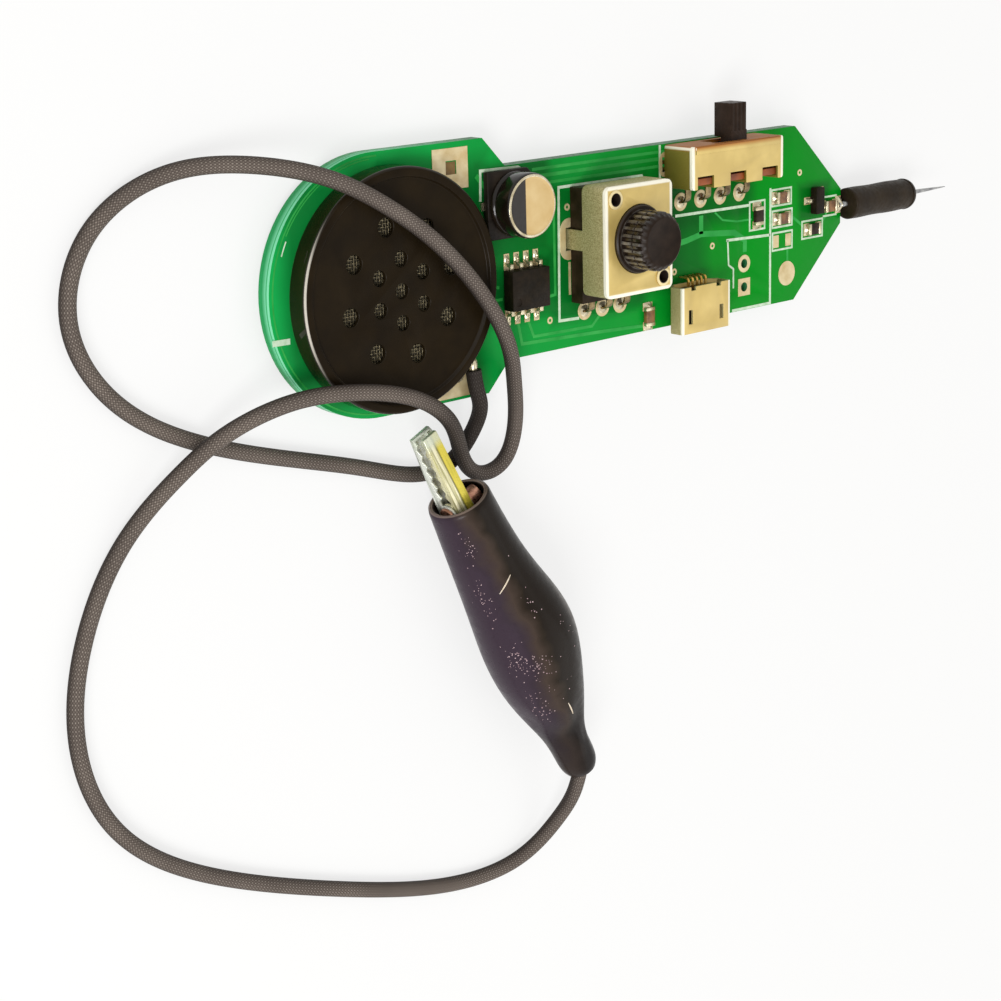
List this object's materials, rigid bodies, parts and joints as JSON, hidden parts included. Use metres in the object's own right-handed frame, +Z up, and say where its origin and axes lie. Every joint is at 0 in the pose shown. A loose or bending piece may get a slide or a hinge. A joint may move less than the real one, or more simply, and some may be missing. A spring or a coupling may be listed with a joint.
{
  "type": "audio signal detector",
  "caption": "Bare circuit-board signal tracer: round speaker at one end, level control, slide switch and charging socket, needle probe, and an earth lead with a spring clip.",
  "frame": {"origin": "on the table under the centre of the board with its needle and switch knob, leaving the earth lead and clip out", "axes": "+X along the board towards the needle, +Y across the board towards the slide switch, +Z up from the table through the parts' side"},
  "size_m": [0.1193, 0.0783, 0.0114],
  "materials": {
    "board": "gloss",
    "lands": "satin",
    "tin": "bright",
    "gilt_shell": "satin",
    "black_plastic": "satin",
    "brown_plastic": "matt",
    "cone": "matt",
    "copper": "satin",
    "gold": "bright",
    "dark_steel": "satin",
    "can": "satin",
    "chip_tan": "matt",
    "sleeve": "satin",
    "needle": "polished",
    "lead": "matt",
    "boot": "gloss",
    "jaw_white": "satin",
    "jaw_yellow": "satin"
  },
  "bodies": {
    "board": {"board": "board", "lands": "lands", "speaker_case": "black_plastic", "speaker_mesh": "dark_steel", "speaker_cone": "cone", "speaker_coil": "copper", "speaker_magnet": "tin", "speaker_yoke": "dark_steel", "speaker_base": "black_plastic", "speaker_pins": "tin", "pot_cover": "gilt_shell", "pot_base": "brown_plastic", "pot_track": "black_plastic", "pot_pins": "tin", "pot_rivets": "gilt_shell", "switch_shell": "gilt_shell", "switch_base": "brown_plastic", "switch_pins": "tin", "usb_shell": "gilt_shell", "usb_insert": "black_plastic", "usb_contacts": "gold", "can_body": "can", "can_foot": "black_plastic", "can_tabs": "tin", "amp_body": "black_plastic", "amp_leads": "tin", "transistor_body": "black_plastic", "transistor_leads": "tin", "resistor_chips": "black_plastic", "capacitor_chips": "chip_tan", "chip_ends": "tin", "solder_joints": "tin", "lead_joint": "tin", "probe_joint": "tin", "probe_sleeve": "sleeve", "probe_needle": "needle", "lead": "lead", "lead_end": "lead", "clip_boot": "boot", "clip_lower_jaw": "jaw_white", "clip_pivot": "copper", "clip_spring": "dark_steel"},
    "control": {"pot_shaft": "black_plastic", "pot_wiper": "gold"},
    "slider": {"switch_slider": "black_plastic", "switch_wiper": "gold"},
    "upper_jaw": {"clip_upper_jaw": "jaw_yellow"}
  },
  "joints": [
    {"name": "control_turn", "type": "hinge", "parent": "board", "child": "control", "pos_m": [-0.0071, 0.001, 0.008], "axis": [0, 0, 1], "range_deg": [-150, 150]},
    {"name": "switch_slide", "type": "slide", "parent": "board", "child": "slider", "axis": [1, 0, 0], "range_m": [-0.002, 0]},
    {"name": "jaw_open", "type": "hinge", "parent": "board", "child": "upper_jaw", "pos_m": [-0.02911, -0.02277, 0.0049], "axis": [0.9003, 0.4352, 0], "range_deg": [0, 20], "stiffness_Nm_per_rad": 0.02, "springref_deg": -17.19}
  ]
}
